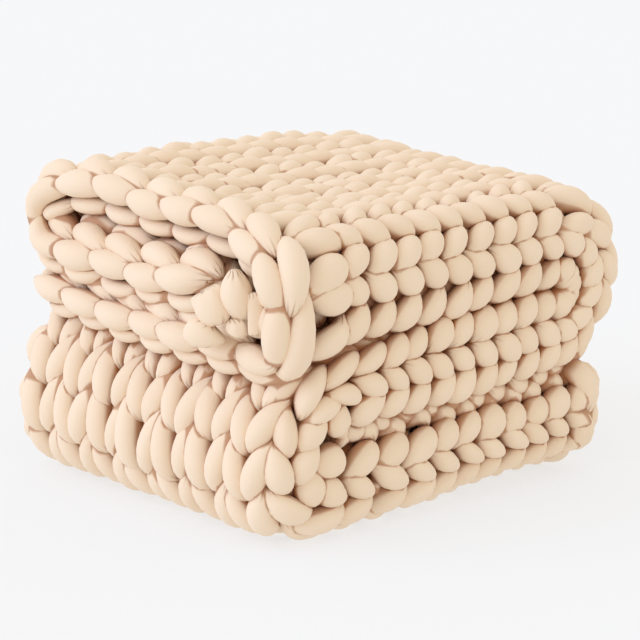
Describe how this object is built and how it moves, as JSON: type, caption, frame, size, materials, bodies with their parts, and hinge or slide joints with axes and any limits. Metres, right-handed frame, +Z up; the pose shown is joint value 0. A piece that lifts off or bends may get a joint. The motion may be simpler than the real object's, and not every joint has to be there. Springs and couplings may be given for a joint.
{
  "type": "weighted blanket",
  "caption": "Chunky hand-knitted weighted blanket in sand-coloured stuffed tube yarn, folded flat into a thick block for storage, with its chain edges and gathered yarn ends.",
  "frame": {"origin": "middle of the folded block's footprint, on the surface it lies on", "axes": "+Z up; Y along the folded block, the free end of the top run towards -Y; X across the block, the folded side edge towards +X"},
  "size_m": [0.4294, 0.5266, 0.347],
  "materials": {
    "sand_knit": "matt smooth jersey",
    "sand_yarn_end_outer": "matt smooth jersey",
    "sand_yarn_end_inner": "matt smooth jersey"
  },
  "bodies": {
    "root": {"knit_cloth": "sand_knit", "yarn_end_outer": "sand_yarn_end_outer", "yarn_end_inner": "sand_yarn_end_inner"}
  },
  "joints": []
}
